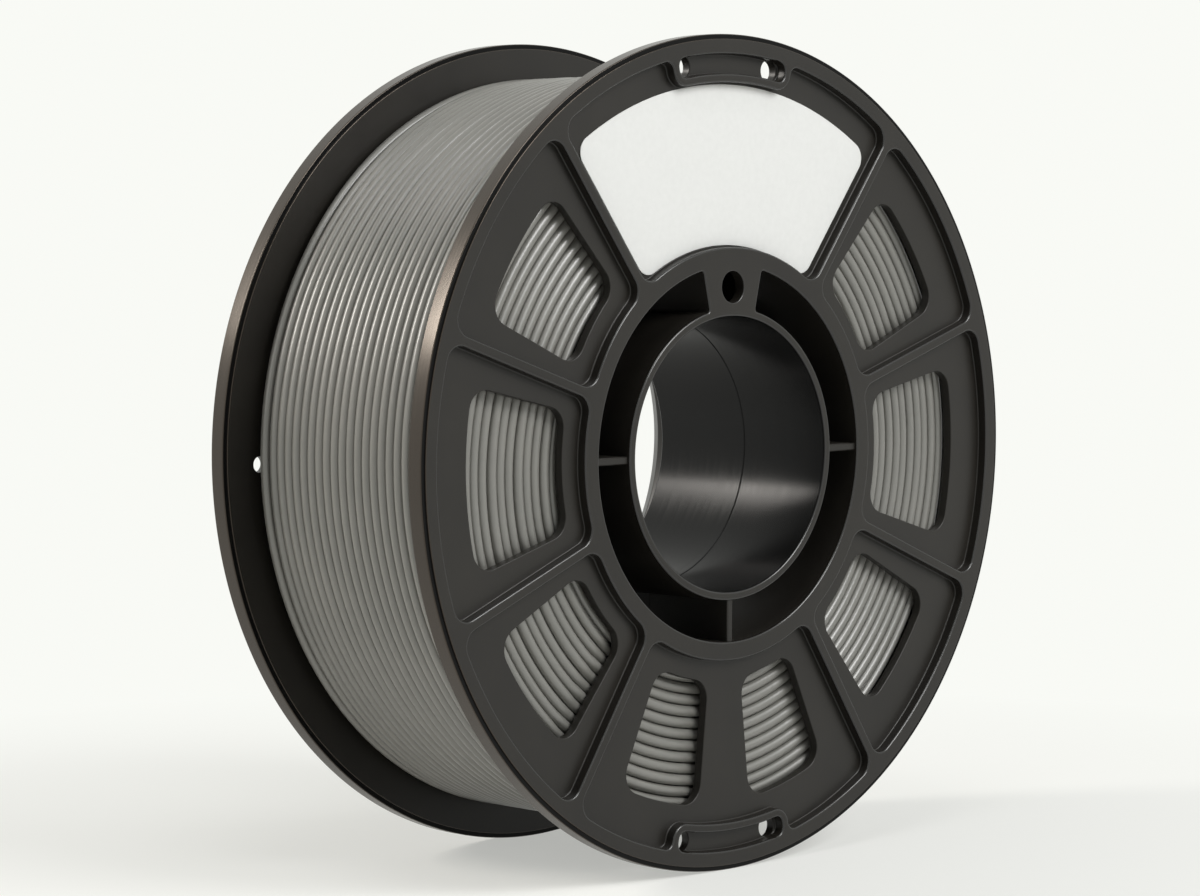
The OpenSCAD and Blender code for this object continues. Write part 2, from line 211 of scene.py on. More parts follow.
def sector(r_in, r_out, half, corner, inset=0.0, slotted=False):
    """A ring's sector about angle 0 with rounded corners and sides parallel to its rays."""
    outer = corner_angle(half, corner + inset, r_out - corner)
    inner = corner_angle(half, corner + inset, r_in + corner)
    return joined([
        arc(polar(r_out - corner, -outer), corner, -half - 90, -outer),
        *(slot_steps(r_out, outer) if slotted else [arc((0, 0), r_out, -outer, outer)]),
        arc(polar(r_out - corner, outer), corner, outer, half + 90),
        arc(polar(r_in + corner, inner), corner, half + 90, inner + 180),
        arc((0, 0), r_in, inner, -inner, side=-1),
        arc(polar(r_in + corner, -inner), corner, 180 - inner, 270 - half)])


def offset(outline, distance):
    """The outline's points, moved outwards by a distance."""
    return outline[:, :2] + distance * outline[:, 2:]


# ---------------------------------------------------------------- closed skins

def quarter(steps=4):
    """Angles over a quarter turn, in radians."""
    return np.radians(np.linspace(0, 90, steps + 1))


def edge_out(w, radius):
    """A profile over a rounded edge, from the face at w into the wall below it."""
    return [(radius - radius * math.sin(a), w - radius + radius * math.cos(a)) for a in quarter()]


def edge_under(w, radius):
    """A profile from a wall round its lower edge to the face at w that looks inwards."""
    return [(radius - radius * math.cos(a), w + radius - radius * math.sin(a)) for a in quarter()]


def foot_in(w, radius):
    """A profile from a wall into the floor at w that it surrounds."""
    return [(-radius + radius * math.cos(a), w + radius - radius * math.sin(a)) for a in quarter()]


def rim_edge():
    """The profile round a rim, from the outer face to the inner one, with a step on both."""
    side = []
    for a in quarter(3):
        out = -RIM_STEP_W - STEP_ROUND + STEP_ROUND * math.sin(a)
        side.append((out, STEP_ROUND - STEP_ROUND * math.cos(a)))
    side.append((-RIM_STEP_W, RIM_STEP_T - STEP_BREAK))
    side.append((-RIM_STEP_W + STEP_BREAK, RIM_STEP_T))
    for a in quarter():
        out = -RIM_ROUND + RIM_ROUND * math.sin(a)
        side.append((out, RIM_STEP_T + RIM_ROUND - RIM_ROUND * math.cos(a)))
    outer_side = [(out, FRONT_W - depth) for out, depth in side]
    inner_side = [(out, INNER_W + depth) for out, depth in reversed(side)]
    return outer_side + inner_side


def band_faces(base, rings, count):
    """The faces between neighbouring rings of count points each, from point number base."""
    faces = []
    for start in range(base, base + (rings - 1) * count, count):
        for i in range(count):
            a, b = start + i, start + (i + 1) % count
            faces.append((a, b, b + count, a + count))
    return faces


class Skin:
    """Collects the walls and plates of one closed surface, in millimetres."""

    def __init__(self):
        self.points, self.faces = [], []

    def wall(self, outline, profile):
        """Sweeps a profile of (offset, w) steps round an outline. Returns its end loops."""
        loops = [offset(outline, out) for out, _ in profile]
        self.faces.extend(band_faces(len(self.points), len(profile), len(outline)))
        for loop, (_, w) in zip(loops, profile):
            self.points.extend((x, y, w) for x, y in loop)
        return loops[0], loops[-1]

    def plate(self, w, loops):
        """Fills the flat face at w that the loops bound, with the inner ones as holes."""
        points, edges = [], []
        for loop in loops:
            base, count = len(points), len(loop)
            points.extend(Vector(p) for p in loop)
            edges.extend((base + i, base + (i + 1) % count) for i in range(count))
        corners, _, triangles, *_ = delaunay_2d_cdt(points, edges, [], 0, PLATE_TOLERANCE)
        corners = np.array(corners)
        triangles = np.array(triangles)
        middles = corners[triangles].mean(axis=1)
        inside = np.zeros(len(middles), dtype=bool)
        for loop in loops:
            ends = np.roll(loop, -1, axis=0)
            for (x0, y0), (x1, y1) in zip(loop, ends):
                if y0 == y1:
                    continue
                spans = (middles[:, 1] > y0) != (middles[:, 1] > y1)
                cross = x0 + (middles[:, 1] - y0) * (x1 - x0) / (y1 - y0)
                inside ^= spans & (middles[:, 0] < cross)
        base = len(self.points)
        self.points.extend((x, y, w) for x, y in corners)
        self.faces.extend(tuple(base + t) for t in triangles[inside])

    def block(self, low, high, angle, bevel):
        """A box between two corners (radius, across, w), turned to an angle.

        The two long edges of its top are bevelled.
        """
        (r0, t0, w0), (r1, t1, w1) = low, high
        base = len(self.points)
        c, s = math.cos(math.radians(angle)), math.sin(math.radians(angle))
        levels = [(t0, t1, w0), (t0, t1, w1 - bevel), (t0 + bevel, t1 - bevel, w1)]
        for ta, tb, w in levels:
            for r, t in ((r0, ta), (r1, ta), (r1, tb), (r0, tb)):
                self.points.append((r * c - t * s, r * s + t * c, w))
        self.faces.append((base, base + 1, base + 2, base + 3))
        self.faces.append((base + 8, base + 9, base + 10, base + 11))
        self.faces.extend(band_faces(base, len(levels), 4))


def front_place(points):
    """From a half's frame to the spool's, for the front half."""
    p = np.asarray(points)
    return np.stack([p[:, 0], -p[:, 2], p[:, 1]], -1) * MM


def rear_place(points):
    """From a half's frame to the spool's, for the rear half."""
    p = np.asarray(points)
    return np.stack([-p[:, 0], p[:, 2], p[:, 1]], -1) * MM


def new_object(name, points, faces, sharp_angle=SHARP_ANGLE):
    """A mesh object with outward faces, welded seams and smooth shading up to an angle."""
    mesh = bpy.data.meshes.new(name)
    mesh.from_pydata([tuple(p) for p in points], [], faces)
    work = bmesh.new()
    work.from_mesh(mesh)
    bmesh.ops.remove_doubles(work, verts=work.verts, dist=WELD)
    bmesh.ops.recalc_face_normals(work, faces=work.faces)
    open_edges = sum(1 for e in work.edges if not e.is_manifold)
    print(f"built {name} {len(work.verts)} points, {len(work.faces)} faces, {open_edges} open edges")
    work.to_mesh(mesh)
    work.free()
    mesh.shade_smooth()
    mesh.set_sharp_from_angle(angle=math.radians(sharp_angle))
    thing = bpy.data.objects.new(name, mesh)
    bpy.context.scene.collection.objects.link(thing)
    return thing


def settle_normals(thing):
    """Keeps flat faces flat beside their rounded edges."""
    weighted = thing.modifiers.new("weighted_normals", "WEIGHTED_NORMAL")
    weighted.keep_sharp = True


# ---------------------------------------------------------------- the two mouldings

def pocket_list():
    """Each pocket as middle angle, half angle, its windows, and whether a slot juts in.

    A window is a pair of its own middle and half angles.
    """
    pockets = [(90.0, 90.0 - SPOKE_ANGLES[0], [], True)]
    for upper, lower in zip(SPOKE_ANGLES, SPOKE_ANGLES[1:]):
        middle, half = (upper + lower) / 2, (upper - lower) / 2
        for at in (middle, 180.0 - middle):
            pockets.append((at, half, [(at, half - WINDOW_SIDE_ANGLE)], False))
    bottom = [(-90.0 + side * BOTTOM_WINDOW_ANGLE, BOTTOM_WINDOW_HALF) for side in (-1, 1)]
    pockets.append((-90.0, 90.0 + SPOKE_ANGLES[-1], bottom, True))
    return pockets


def rounded_hole(skin, outline, top, bottom, radius):
    """A hole's wall with both edges rounded. Returns its loops at the top and bottom."""
    return skin.wall(outline, edge_out(top, radius) + edge_under(bottom, radius))


def recess(skin, outline):
    """A recess in the outer face with a rounded edge and foot. Returns its loops there."""
    return skin.wall(outline, edge_out(FRONT_W, EDGE_ROUND) + foot_in(FLOOR_W, FOOT_ROUND))


def add_flange(skin, window_margin, has_slots, hole_outlines):
    """The rim, pockets, windows and slots. Returns the loops left open in both faces."""
    top, bottom = skin.wall(circle((0, 0), FLANGE_R), rim_edge())
    face_loops, inner_loops = [top], [bottom]

    for middle, half, windows, slotted in pocket_list():
        pocket = sector(HUB_RING_R, RIM_R, half, POCKET_CORNER, SPOKE_W / 2, slotted and has_slots)
        top, floor = recess(skin, turned(pocket, middle))
        face_loops.append(top)
        floor_loops = [floor]
        holes = [turned(sector(WINDOW_IN_R, RIM_R - window_margin, window_half, WINDOW_CORNER), at)
                 for at, window_half in windows]
        holes += [outline for at, outline in hole_outlines if abs(at - middle) < half]
        for hole in holes:
            top, bottom = rounded_hole(skin, hole, FLOOR_W, INNER_W, HOLE_ROUND)
            floor_loops.append(top)
            inner_loops.append(bottom)
        skin.plate(FLOOR_W, floor_loops)

    if has_slots:
        for at in SLOT_ANGLES:
            slot = sector(RIM_R - SLOT_W, RIM_R, SLOT_HALF_ANGLE, SLOT_CORNER)
            top, floor = recess(skin, turned(slot, at))
            face_loops.append(top)
            skin.plate(FLOOR_W, [floor])
    return face_loops, inner_loops


def moulding(window_margin, has_slots, hole_outlines, seam_w, tube_end):
    """The skin of one half, without its ribs: flange, hub, bore tube and drive pad.

    Where the bore tube ends below the flange's face, the hub opens in a bevelled mouth.
    """
    skin = Skin()
    face_loops, inner_loops = add_flange(skin, window_margin, has_slots, hole_outlines)

    hub_loops, step, channel_round = face_loops, 0.0, EDGE_ROUND
    if tube_end < FRONT_W:
        step, channel_round = MOUTH_STEP, MOUTH_STEP_ROUND
        bevel = HUB_RING_R - REAR_MOUTH_LAND - CHANNEL_R
        mouth = [(bevel + out, FRONT_W + rise) for out, rise in MOUTH_LIP]
        mouth += [(out, INNER_W + rise) for out, rise in MOUTH_ROOT]
        top, bottom = skin.wall(circle((0, 0), CHANNEL_R), mouth + [(0.0, tube_end)])
        face_loops.append(top)
        hub_loops = [bottom]

    seam_loops = []
    channel = turned(sector(TUBE_R, CHANNEL_R - step, 180.0 - PAD_HALF_ANGLE, CHANNEL_CORNER), -90.0)
    top, bottom = skin.wall(channel, edge_out(tube_end, channel_round) + [(0.0, seam_w)])
    hub_loops.append(top)
    seam_loops.append(bottom)

    bore_seam = [(0.0, seam_w + SEAM_BREAK), (SEAM_BREAK, seam_w)]
    top, bottom = skin.wall(circle((0, 0), BORE_R), edge_out(tube_end, MOUTH_ROUND) + bore_seam)
    hub_loops.append(top)
    seam_loops.append(bottom)

    cell_w = tube_end - PAD_T
    drive_hole = circle((0, DRIVE_HOLE_AT), DRIVE_HOLE_R)
    top, bottom = rounded_hole(skin, drive_hole, tube_end, cell_w, HOLE_ROUND)
    hub_loops.append(top)
    cell = turned(sector(TUBE_R, CHANNEL_R - step, PAD_HALF_ANGLE, CELL_CORNER, RIB_T), 90.0)
    seam_end, cell_end = skin.wall(cell, [(0.0, seam_w), (0.0, cell_w)])
    seam_loops.append(seam_end)
    skin.plate(cell_w, [cell_end, bottom])

    drum_seam = [(0.0, seam_w + SEAM_BREAK), (-SEAM_BREAK, seam_w)]
    top, bottom = skin.wall(circle((0, 0), DRUM_R), edge_out(INNER_W, DRUM_FOOT_ROUND) + drum_seam)
    inner_loops.append(top)
    seam_loops.append(bottom)

    skin.plate(FRONT_W, face_loops)
    if hub_loops is not face_loops:
        skin.plate(tube_end, hub_loops)
    skin.plate(INNER_W, inner_loops)
    skin.plate(seam_w, seam_loops)
    return skin


def add_ribs(skin, seam_w, tube_end):
    """The ribs that hold the bore tube in the channel."""
    low = (TUBE_R - RIB_BITE, -RIB_T / 2, seam_w)
    high = (CHANNEL_R + RIB_BITE, RIB_T / 2, tube_end - RIB_RECESS)
    for angle in RIB_ANGLES:
        skin.block(low, high, angle, RIB_BEVEL)


def add_hooks(skin, seam):
    """The four snap hooks of the front half, each an arm with a root and a barb."""
    half = HOOK_W / 2
    for angle in HOOK_ANGLES:
        for r_in, r_out, set_back, start, end in HOOK_BLOCKS:
            low, high = (r_in, set_back - half, seam + start), (r_out, half - set_back, seam + end)
            skin.block(low, high, angle, HOOK_BEVEL)


def tie_hole_cutters():
    """Four stepped plugs that open the tie holes through the floors of the rim slots."""
    skin = Skin()
    steps = [(0.0, FRONT_W + CUTTER_REACH)]
    steps += [(out, FLOOR_W + rise) for out, rise in TIE_HOLE_TOP]
    steps += [(out, INNER_W + rise) for out, rise in TIE_HOLE_FOOT]
    for at in SLOT_ANGLES:
        for side in (-1, 1):
            centre = polar(RIM_R - SLOT_W / 2, at + side * TIE_HOLE_ANGLE)
            top, bottom = skin.wall(circle(centre, TIE_HOLE_R), steps)
            skin.plate(steps[0][1], [top])
            skin.plate(steps[-1][1], [bottom])
    return new_object("tie_hole_cutters", front_place(skin.points), skin.faces)


def cut_away(thing, cutter):
    """Cuts one closed mesh out of another and keeps the result as plain mesh."""
    cut = thing.modifiers.new("cut", "BOOLEAN")
    cut.operation = "DIFFERENCE"
    cut.solver = "EXACT"
    cut.object = cutter
    evaluated = thing.evaluated_get(bpy.context.evaluated_depsgraph_get())
    result = bpy.data.meshes.new_from_object(evaluated)
    thing.modifiers.clear()
    thing.data = result
    bpy.data.objects.remove(cutter)
    result.shade_smooth()
    result.set_sharp_from_angle(angle=math.radians(SHARP_ANGLE))


def build_front():
    """The front half: its moulding with the tie holes, and its ribs and hooks."""
    seam = FRONT_W - SEAM_DEPTH
    seam_w = seam + SEAM_GAP / 2
    skin = moulding(FRONT_WINDOW_MARGIN, True, [], seam_w, FRONT_W)
    body = new_object("front_moulding", front_place(skin.points), skin.faces)
    cut_away(body, tie_hole_cutters())
    details = Skin()
    add_ribs(details, seam_w, FRONT_W)
    add_hooks(details, seam)
    ribs = new_object("front_ribs_and_hooks", front_place(details.points), details.faces)
    return [body, ribs]


def build_rear():
    """The rear half: its moulding with the parking hole, and its ribs."""
    parking_hole = (0.0, circle(polar(PARKING_HOLE_AT, PARKING_HOLE_ANGLE), PARKING_HOLE_R))
    seam_w = SEAM_DEPTH - FRONT_W + SEAM_GAP / 2
    tube_end = FRONT_W - REAR_RECESS
    skin = moulding(REAR_WINDOW_MARGIN, False, [parking_hole], seam_w, tube_end)
    body = new_object("rear_moulding", rear_place(skin.points), skin.faces)
    details = Skin()
    add_ribs(details, seam_w, tube_end)
    ribs = new_object("rear_ribs", rear_place(details.points), details.faces)
    return [body, ribs]


# ---------------------------------------------------------------- the wound strand

def slow_wave(angle, seed):
    """A smooth value between about -1 and 1 that repeats each turn, from a few sines."""
    random = np.random.default_rng(seed)
    total = np.zeros_like(angle)
    for k in range(1, WAVES + 1):
        weight = math.sin(random.uniform(0, WEIGHT_SPAN)) / k
        phase = random.uniform(0, PHASE_SPAN)
        total += weight * np.sin(np.radians(k * angle) + phase)
    return total


def rod_faces(rings, sides):
    """The faces of a rod of point rings, with its two flat ends."""
    last = (rings - 1) * sides
    return band_faces(0, rings, sides) + [tuple(range(sides)), tuple(range(last, last + sides))]


def strand_mesh(name, angle, radius, w, place):
    """A round strand with flat ends, along a path of angle, radius and w."""
    outward = polar(1.0, angle)
    centres = np.column_stack([outward * radius[:, None], w])
    rings = []
    for k in np.radians(np.arange(STRAND_SIDES) * 360.0 / STRAND_SIDES):
        lift = np.column_stack([outward * math.cos(k), np.full(len(angle), math.sin(k))])
        rings.append(centres + STRAND_R * lift)
    points = np.stack(rings, 1).reshape(-1, 3)
    return new_object(name, place(points), rod_faces(len(angle), STRAND_SIDES), STRAND_SHARP_ANGLE)


def build_outer_layer():
    """The last layer, as one helix from flange to flange that sways a little in its place."""
    turn = np.arange(TURNS * STEPS_PER_TURN + 1) / STEPS_PER_TURN
    angle = FREE_END_ANGLE + 360.0 * turn
    pitch = STRAND_PITCH - FIRST_TURN_GAP / TURNS
    gap = FIRST_TURN_GAP * np.clip((turn - GAP_FROM) / GAP_OVER, 0, 1)
    w = pitch * turn + gap - STRAND_PITCH * TURNS / 2
    sway = SWAY * slow_wave(angle, SWAY_SEED) * np.sin(turn * SWAY_SHIFT + SWAY_START)
    lift = LIFT * slow_wave(angle, LIFT_SEED) * np.cos(turn * LIFT_SHIFT)
    inside = np.clip(np.minimum(turn, TURNS - turn), 0, 1)
    radius = OUTER_LAYER_R + lift * inside
    return strand_mesh("wound_outer_layer", angle, radius, w + sway * inside, front_place)


def build_side_turns(name, place, seed):
    """The turns beside one flange, as a flat spiral that climbs late in each turn."""
    turn = np.arange(SIDE_TURNS * STEPS_PER_TURN + 1) / STEPS_PER_TURN
    angle = 360.0 * turn + SIDE_START_ANGLE
    whole = np.floor(turn)
    part = turn - whole
    climb = np.clip((part - CLIMB_FROM) / CLIMB_OVER, 0, 1)
    climb = climb * climb * (3 - 2 * climb)
    radius = DRUM_R + STRAND_R + LAYER_PITCH * (whole + climb)
    sway = SIDE_SWAY * slow_wave(angle, seed) * np.sin(whole * SIDE_SHIFT + part * SIDE_SHIFT_WITHIN)
    return strand_mesh(name, angle, radius, SIDE_W + sway, place)


def build_core():
    """The inner layers behind the side turns, as a closed ribbed drum."""
    skin = Skin()
    ridge = [(math.sin(math.radians(a)) * RIDGE_H, a) for a in np.arange(0, 180, RIDGE_STEP)]
    top_w = SIDE_W - CORE_INSET
    span = 2 * top_w / CORE_ROWS
    profile = [(-RIDGE_H, top_w)]
    for row in range(CORE_ROWS):
        start = top_w - row * span
        profile.extend((height, start - span * (a + RIDGE_STEP / 2) / 180.0) for height, a in ridge)
    profile.append((-RIDGE_H, -top_w))
    outer = circle((0, 0), OUTER_LAYER_R - LAYER_PITCH - CORE_CLEARANCE)
    inner = circle((0, 0), DRUM_R + CORE_CLEARANCE)
    top, bottom = skin.wall(outer, profile)
    inner_top, inner_bottom = skin.wall(inner, [(0.0, top_w), (0.0, -top_w)])
    skin.plate(top_w, [top, inner_top])
    skin.plate(-top_w, [bottom, inner_bottom])
    return new_object("wound_inner_layers", front_place(skin.points), skin.faces, STRAND_SHARP_ANGLE)


def build_anchored_end():
    """The strand's first end, where it comes through the drum wall into the channel."""
    around = polar(1.0, np.arange(ANCHOR_SIDES) * 360.0 / ANCHOR_SIDES)
    outward, across = polar(1.0, ANCHOR_ANGLE), polar(1.0, ANCHOR_ANGLE + 90)
    end = CHANNEL_R - ANCHOR_REACH
    sections = ((end, CUT_END_SCALE), (end + CUT_END_L, 1.0), (DRUM_R + ANCHOR_BITE, 1.0))
    points = []
    for depth, size in sections:
        for c, s in around * STRAND_R * size:
            x, y = outward * depth + across * c
            points.append((x, y, ANCHOR_W + s))
    return new_object("anchored_strand_end", front_place(points), rod_faces(len(sections), ANCHOR_SIDES))


# ---------------------------------------------------------------- the label

def build_label():
    """The film on the floor of the top pocket, with a margin round it."""
    r_in = HUB_RING_R + LABEL_END_MARGIN
    r_out = RIM_R - SLOT_W - SLOT_BORDER_W - LABEL_END_MARGIN
    inset = SPOKE_W / 2 + LABEL_SIDE_MARGIN
    outline = turned(sector(r_in, r_out, 90.0 - SPOKE_ANGLES[0], POCKET_CORNER, inset), 90.0)
    low, high = FLOOR_W + GLUE_T, FLOOR_W + GLUE_T + LABEL_T
    third = LABEL_ROUND / 3
    edge = [(-LABEL_ROUND, high), (-third, high - third), (0.0, high - LABEL_ROUND), (0.0, low)]
    skin = Skin()
    top, bottom = skin.wall(outline, edge)
    skin.plate(high, [top])
    skin.plate(low, [bottom])
    return new_object("label_film", front_place(skin.points), skin.faces)


# ---------------------------------------------------------------- materials

# Where in a pattern's range its colours and its streaks' roughness start and end to change
PATTERN_LOW, PATTERN_HIGH = 0.3, 0.7

BLACK_TONES = (0.0102, 0.0090, 0.0074), (0.0144, 0.0127, 0.0102)
GREY_TONES = (0.154, 0.153, 0.139), (0.189, 0.185, 0.168)
WHITE_TONES = (0.670, 0.677, 0.660), (0.693, 0.700, 0.683)
FILM_ROUGHNESS, FIBRE_HEIGHT = 0.55, 0.000005
NEUTRAL = (1.0, 1.0, 1.0)

# The finishes of a moulding's edges, rim, steps and bore, in the order of their numbers. Those of the
# steps and the bore are darker and duller than the plastic, as painted shade.
# Columns: name, colour, specular level, range of roughness, specular tint, streak height in metres
EDGE, RIM, STEP, BORE = 1, 2, 3, 4
FINISHES_AND_PAINTED_SHADES = (
    ("polished_black_edge", (0.012, 0.011, 0.010), 0.55, (0.20, 0.26), NEUTRAL, 0.0000006),
    ("turned_black_rim", (0.010, 0.007, 0.005), 0.62, (0.22, 0.27), (1.0, 0.86, 0.73), 0.0000004),
    # The steps beside the rim: a darker colour and weak specular paint the shade of a dark line there
    ("step_land_painted_shade", (0.004, 0.004, 0.004), 0.10, (0.26, 0.34), NEUTRAL, 0.0000006),
    # The bore: a darker colour and weak specular paint the shade inside the tube; its streaks are its
    # real polish
    ("polished_bore_painted_shade", (0.005, 0.005, 0.005), 0.18, (0.20, 0.26), NEUTRAL, 0.0000006))
BAND_SHADE = 0.7


def new_material(name):
    """A material with its node tree and its shader."""
    material = bpy.data.materials.new(name)
    material.use_nodes = True
    tree = material.node_tree
    return material, tree, tree.nodes["Principled BSDF"]


def noise(tree, scale, detail, place=None):
    """A noise pattern over the object's coordinates in metres, or over others."""
    texture = tree.nodes.new("ShaderNodeTexNoise")
    texture.inputs["Scale"].default_value = scale
    texture.inputs["Detail"].default_value = detail
    if place is None:
        place = tree.nodes.new("ShaderNodeTexCoord").outputs["Object"]
    tree.links.new(place, texture.inputs["Vector"])
    return texture.outputs["Fac"]


def math_node(tree, operation, *values):
    """The result of a math node on numbers and sockets."""
    made = tree.nodes.new("ShaderNodeMath")
    made.operation = operation
    for socket, value in zip(made.inputs, values):
        if isinstance(value, (int, float)):
            socket.default_value = value
        else:
            tree.links.new(value, socket)
    return made.outputs["Value"]


def round_the_axis(tree, across, around):
    """Coordinates that follow the turning: scaled across the streaks and round the axis.

    The angle enters as a point on a circle, so that the pattern has no seam.
    """
    place = tree.nodes.new("ShaderNodeTexCoord").outputs["Object"]
    parts = tree.nodes.new("ShaderNodeSeparateXYZ")
    tree.links.new(place, parts.inputs["Vector"])
    x, y, z = parts.outputs
    squares = [math_node(tree, "MULTIPLY", part, part) for part in (x, z)]
    radius = math_node(tree, "SQRT", math_node(tree, "ADD", *squares))
    steps = [math_node(tree, "MULTIPLY", part, across) for part in (y, radius)]
    joined_up = tree.nodes.new("ShaderNodeCombineXYZ")
    tree.links.new(math_node(tree, "ADD", *steps), joined_up.inputs["Y"])
    for name, value in (("X", x), ("Z", z)):
        on_circle = math_node(tree, "DIVIDE", value, radius)
        tree.links.new(math_node(tree, "MULTIPLY", on_circle, around), joined_up.inputs[name])
    return joined_up.outputs["Vector"]


def colour_between(tree, shader, pattern, dark, light):
    """Colours the surface from dark to light as the pattern rises."""
    made = tree.nodes.new("ShaderNodeValToRGB")
    stops = ((PATTERN_LOW, dark), (PATTERN_HIGH, light))
    for element, (position, colour) in zip(made.color_ramp.elements, stops):
        element.position = position
        element.color = (*colour, 1.0)
    tree.links.new(pattern, made.inputs["Fac"])
    tree.links.new(made.outputs["Color"], shader.inputs["Base Color"])


def spread(tree, source, low, high, start=0.0, end=1.0):
    """A value that goes from low to high while the source goes from start to end."""
    made = tree.nodes.new("ShaderNodeMapRange")
    made.inputs["From Min"].default_value = start
    made.inputs["From Max"].default_value = end
    made.inputs["To Min"].default_value = low
    made.inputs["To Max"].default_value = high
    tree.links.new(source, made.inputs["Value"])
    return made.outputs["Result"]


def bump(tree, shader, pattern, height):
    """Raises the surface by the pattern times a height in metres."""
    made = tree.nodes.new("ShaderNodeBump")
    made.inputs["Distance"].default_value = 1.0
    tree.links.new(math_node(tree, "MULTIPLY", pattern, height), made.inputs["Height"])
    tree.links.new(made.outputs["Normal"], shader.inputs["Normal"])


def plastic(name, tones, mottle, specular, roughness, polish, grain, grain_height):
    """A plastic of two tones. Mottle, polish and grain are each a noise's scale and detail."""
    material, tree, shader = new_material(name)
    colour_between(tree, shader, noise(tree, *mottle), *tones)
    shader.inputs["Specular IOR Level"].default_value = specular
    tree.links.new(spread(tree, noise(tree, *polish), *roughness), shader.inputs["Roughness"])
    bump(tree, shader, noise(tree, *grain), grain_height)
    return material


def moulded_black():
    """Satin black plastic with a faint mottle and a fine moulded grain."""
    return plastic(
        "moulded_black_plastic", BLACK_TONES, mottle=(45.0, 5.0), specular=0.34,
        roughness=(0.32, 0.44), polish=(160.0, 6.0), grain=(2600.0, 3.0), grain_height=0.00001)


def grey_strand():
    """Extruded grey filament: smooth and semi-gloss, with slight changes of tone."""
    return plastic(
        "grey_filament", GREY_TONES, mottle=(30.0, 3.0), specular=0.85,
        roughness=(0.29, 0.37), polish=(90.0, 3.0), grain=(1500.0, 2.0), grain_height=0.0000005)


def turned_black(name, colour, specular, roughness, tint, streak_height):
    """Black plastic that is turned or polished, with bands and fine streaks round the axis. With a
    darker colour and a weak specular level it paints shade, as on the steps and in the bore.
    """
    material, tree, shader = new_material(name)
    streaks = noise(tree, 1.0, 3.0, round_the_axis(tree, across=1500.0, around=0.5))
    bands = noise(tree, 1.0, 2.0, round_the_axis(tree, across=60.0, around=3.0))
    colour_between(tree, shader, bands, [BAND_SHADE * c for c in colour], colour)
    shader.inputs["Specular IOR Level"].default_value = specular
    shader.inputs["Specular Tint"].default_value = (*tint, 1.0)
    rough = spread(tree, streaks, *roughness, PATTERN_LOW, PATTERN_HIGH)
    tree.links.new(rough, shader.inputs["Roughness"])
    bump(tree, shader, streaks, streak_height)
    return material


def white_film():
    """Matte white label film with a faint fibre."""
    material, tree, shader = new_material("white_label_film")
    fibre = noise(tree, 700.0, 6.0)
    colour_between(tree, shader, fibre, *WHITE_TONES)
    shader.inputs["Roughness"].default_value = FILM_ROUGHNESS
    bump(tree, shader, fibre, FIBRE_HEIGHT)
    return material


# ---------------------------------------------------------------- the scene round it

CAMERA_AZIMUTH, CAMERA_ELEVATION = -44.81, 3.41
CAMERA_DISTANCE, CAMERA_LENS, SENSOR_W = 0.9, 109.65, 36.0
AIM_RIGHT, AIM_UP = -0.00571, -0.00004

# Lamps: name, position, target, width and height in metres, power in watts, colour
LAMPS = (
    ("rear_left", (-1.06, 0.97, 0.86), (0, 0, 0.02), (0.36, 0.58), 18.0, (1.0, 0.95, 0.89)),
    ("left", (-1.45, 0.0, 0.60), (0, 0, 0.02), (0.5, 0.8), 1.6, (1.0, 0.97, 0.93)),
    ("overhead", (-0.5, -0.5, 1.35), (0, 0, 0), (0.5, 0.5), 4.0, NEUTRAL),
    ("front_high", (0.3, -1.25, 0.95), (0, 0, 0), (0.8, 0.8), 22.0, NEUTRAL))
AMBIENT_STRENGTH = 0.02

BACKDROP = (0.945, 0.955, 0.915, 1.0)
FLOOR_COLOUR, FLOOR_ROUGHNESS = (0.90, 0.905, 0.88, 1.0), 0.7
FLOOR_REACH, FLOOR_SIDES = 2.5, 64
# The backdrop's share in the floor near and far, and the distances at which it changes
FLOOR_FADE = (0.35, 1.0, 0.06, 0.34)


def add_camera():
    """The photo's camera, aimed a little off the spool's centre."""
    a, e = math.radians(CAMERA_AZIMUTH), math.radians(CAMERA_ELEVATION)
    back = Vector((math.sin(a) * math.cos(e), -math.cos(a) * math.cos(e), math.sin(e)))
    right = (-back).cross(Vector((0, 0, 1))).normalized()
    up = right.cross(-back)
    data = bpy.data.cameras.new("camera")
    data.lens, data.sensor_width, data.sensor_fit = CAMERA_LENS, SENSOR_W, "HORIZONTAL"
    camera = bpy.data.objects.new("camera", data)
    camera.location = back * CAMERA_DISTANCE + right * AIM_RIGHT + up * AIM_UP
    camera.rotation_euler = (-back).to_track_quat("-Z", "Y").to_euler()
    bpy.context.scene.collection.objects.link(camera)
    bpy.context.scene.camera = camera


def add_area_light(name, position, target, size, power, colour):
    """A rectangular lamp that points at a target."""
    data = bpy.data.lights.new(name, "AREA")
    data.shape = "RECTANGLE"
    data.size, data.size_y = size
    data.energy = power
    data.color = colour
    light = bpy.data.objects.new(name, data)
    light.location = position
    light.rotation_euler = (Vector(target) - Vector(position)).to_track_quat("-Z", "Y").to_euler()
    bpy.context.scene.collection.objects.link(light)


def seen_directly(tree):
    """1 for rays from the camera and for reflected and transmitted ones, else 0."""
    path = tree.nodes.new("ShaderNodeLightPath")
    seen = math_node(tree, "MAXIMUM", path.outputs["Is Camera Ray"], path.outputs["Is Glossy Ray"])
    return math_node(tree, "MAXIMUM", seen, path.outputs["Is Transmission Ray"])


def mix_shaders(tree, share, base, top, output):
    """Gives the output the top shader by its share, and the base shader for the rest."""
    either = tree.nodes.new("ShaderNodeMixShader")
    tree.links.new(share, either.inputs["Fac"])
    tree.links.new(base, either.inputs[1])
    tree.links.new(top, either.inputs[2])
    tree.links.new(either.outputs["Shader"], tree.nodes[output].inputs["Surface"])


